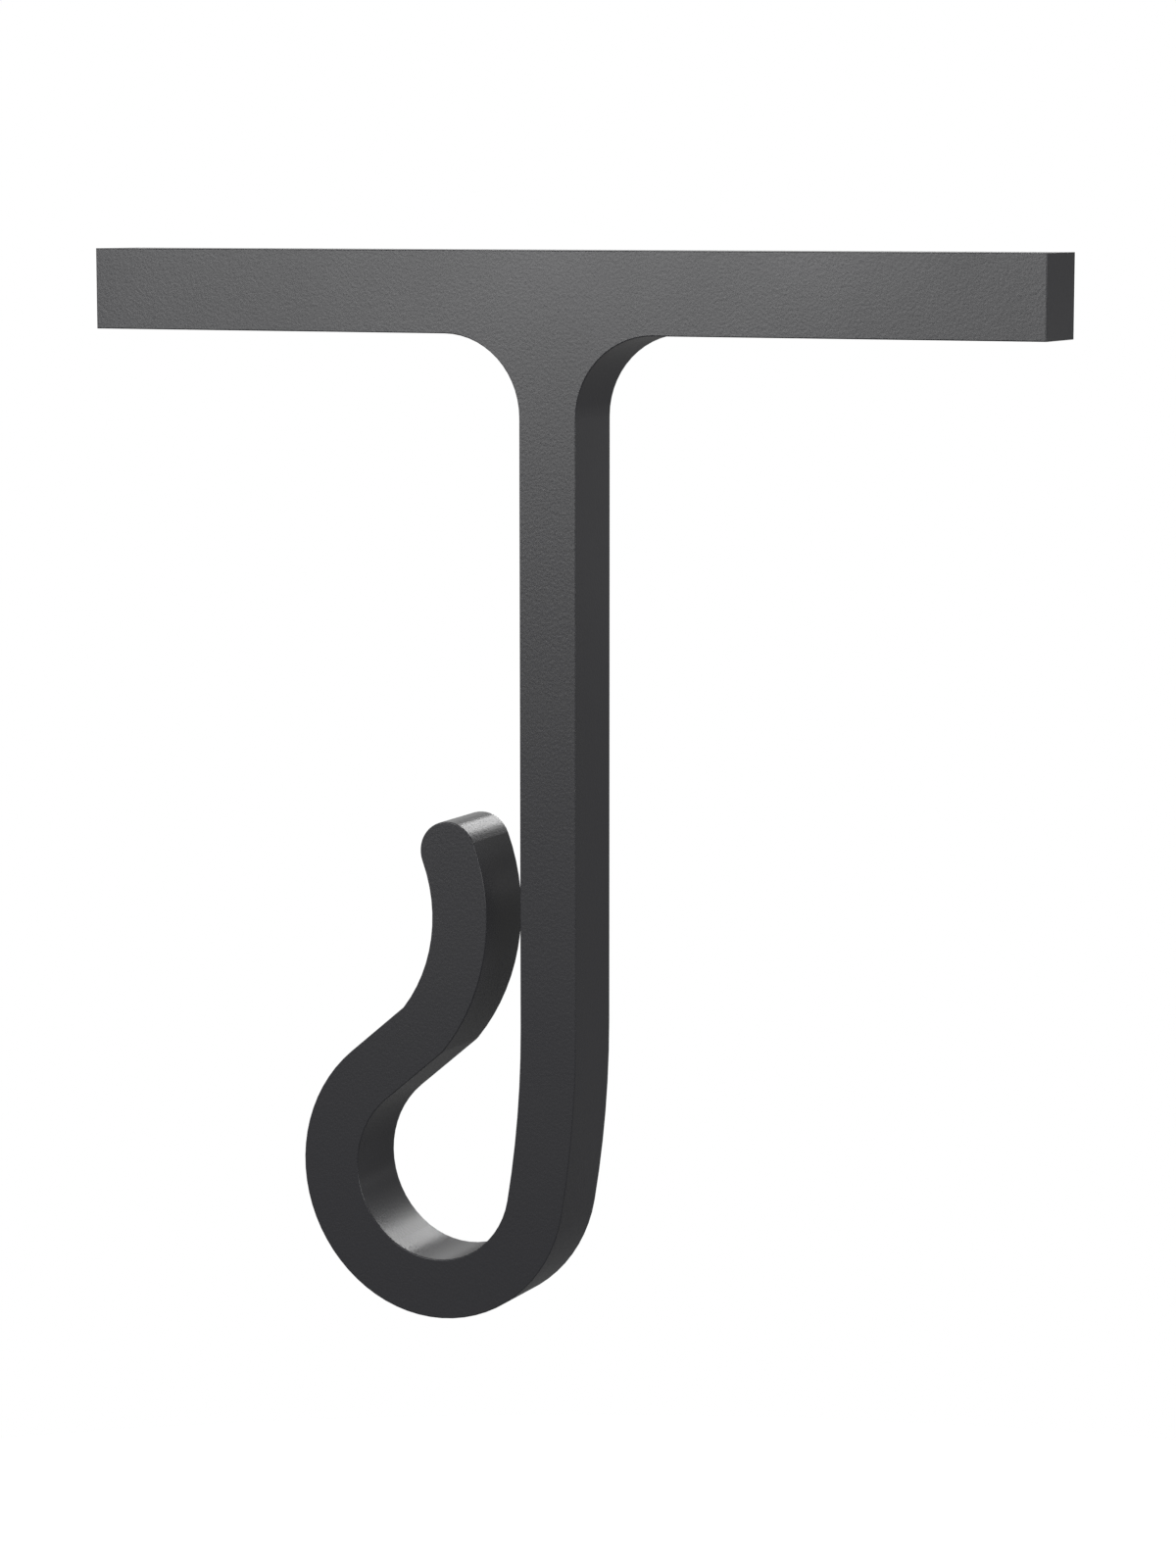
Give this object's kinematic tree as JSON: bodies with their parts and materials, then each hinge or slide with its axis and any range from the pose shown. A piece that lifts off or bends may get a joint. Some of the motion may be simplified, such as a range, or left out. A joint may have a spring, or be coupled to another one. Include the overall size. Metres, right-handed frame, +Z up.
{
  "type": "string light clip",
  "caption": "T-shaped hanging clip of constant depth: a flat bar with a slim leg under it, ending in a hook with a narrow throat that a light string's cord is pressed into.",
  "frame": {"origin": "middle of the bar's top face", "axes": "+X along the bar, +Y from the front face to the back face, +Z up as the clip hangs"},
  "size_m": [0.05, 0.004, 0.053],
  "materials": {
    "clip_plastic": "charcoal plastic, moulded, satin"
  },
  "bodies": {
    "root": {"clip": "clip_plastic"}
  },
  "joints": []
}
